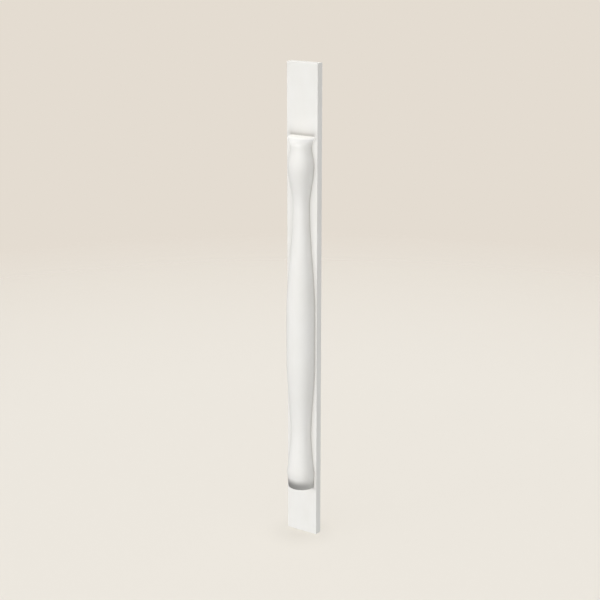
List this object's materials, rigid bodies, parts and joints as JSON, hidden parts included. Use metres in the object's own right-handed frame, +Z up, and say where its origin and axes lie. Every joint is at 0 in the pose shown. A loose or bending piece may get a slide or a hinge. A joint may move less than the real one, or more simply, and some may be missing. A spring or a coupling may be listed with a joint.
{
  "type": "pilaster",
  "caption": "Applied furniture pilaster: a flat plank with a half-round turned baluster on its face, to be fixed flat to a cabinet, door frame or chimneypiece.",
  "frame": {"origin": "centre of the board's flat back face, which is fixed to a wall or a cabinet", "axes": "+Z up along the board, +Y out of the back face into what carries it, +X to the right seen from the front"},
  "size_m": [0.077, 0.0523, 1.067],
  "materials": {
    "board_paint": "satin white paint on a planed board",
    "turning_paint": "satin white paint on a sanded turning"
  },
  "bodies": {
    "root": {"backboard": "board_paint", "split_baluster": "turning_paint"}
  },
  "joints": []
}
